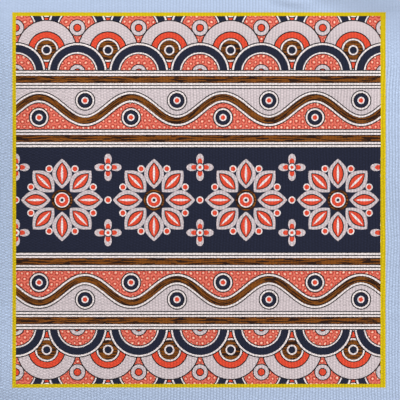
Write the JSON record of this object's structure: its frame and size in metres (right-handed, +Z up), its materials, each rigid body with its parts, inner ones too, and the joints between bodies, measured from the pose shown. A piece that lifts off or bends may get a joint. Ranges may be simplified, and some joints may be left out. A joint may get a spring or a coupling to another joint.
{
  "type": "length of printed outdoor fabric",
  "caption": "Square cut length of coarse plain-weave outdoor fabric lying flat, with a banded print inside a yellow line and pale blue margins.",
  "frame": {"origin": "on the surface the cloth lies on, under the middle of its outline", "axes": "+X across the warp ribs, to the right in the picture; +Y along the warp ribs, towards the picture's top edge; +Z up, out of the printed face"},
  "size_m": [0.34, 0.34, 0.0076],
  "materials": {
    "printed_cloth": "matt ribbed plain weave, printed on one face in navy, blush, salmon, coral, brown and cream, with a yellow line and light blue margins"
  },
  "bodies": {
    "root": {"printed_cloth": "printed_cloth"}
  },
  "joints": []
}
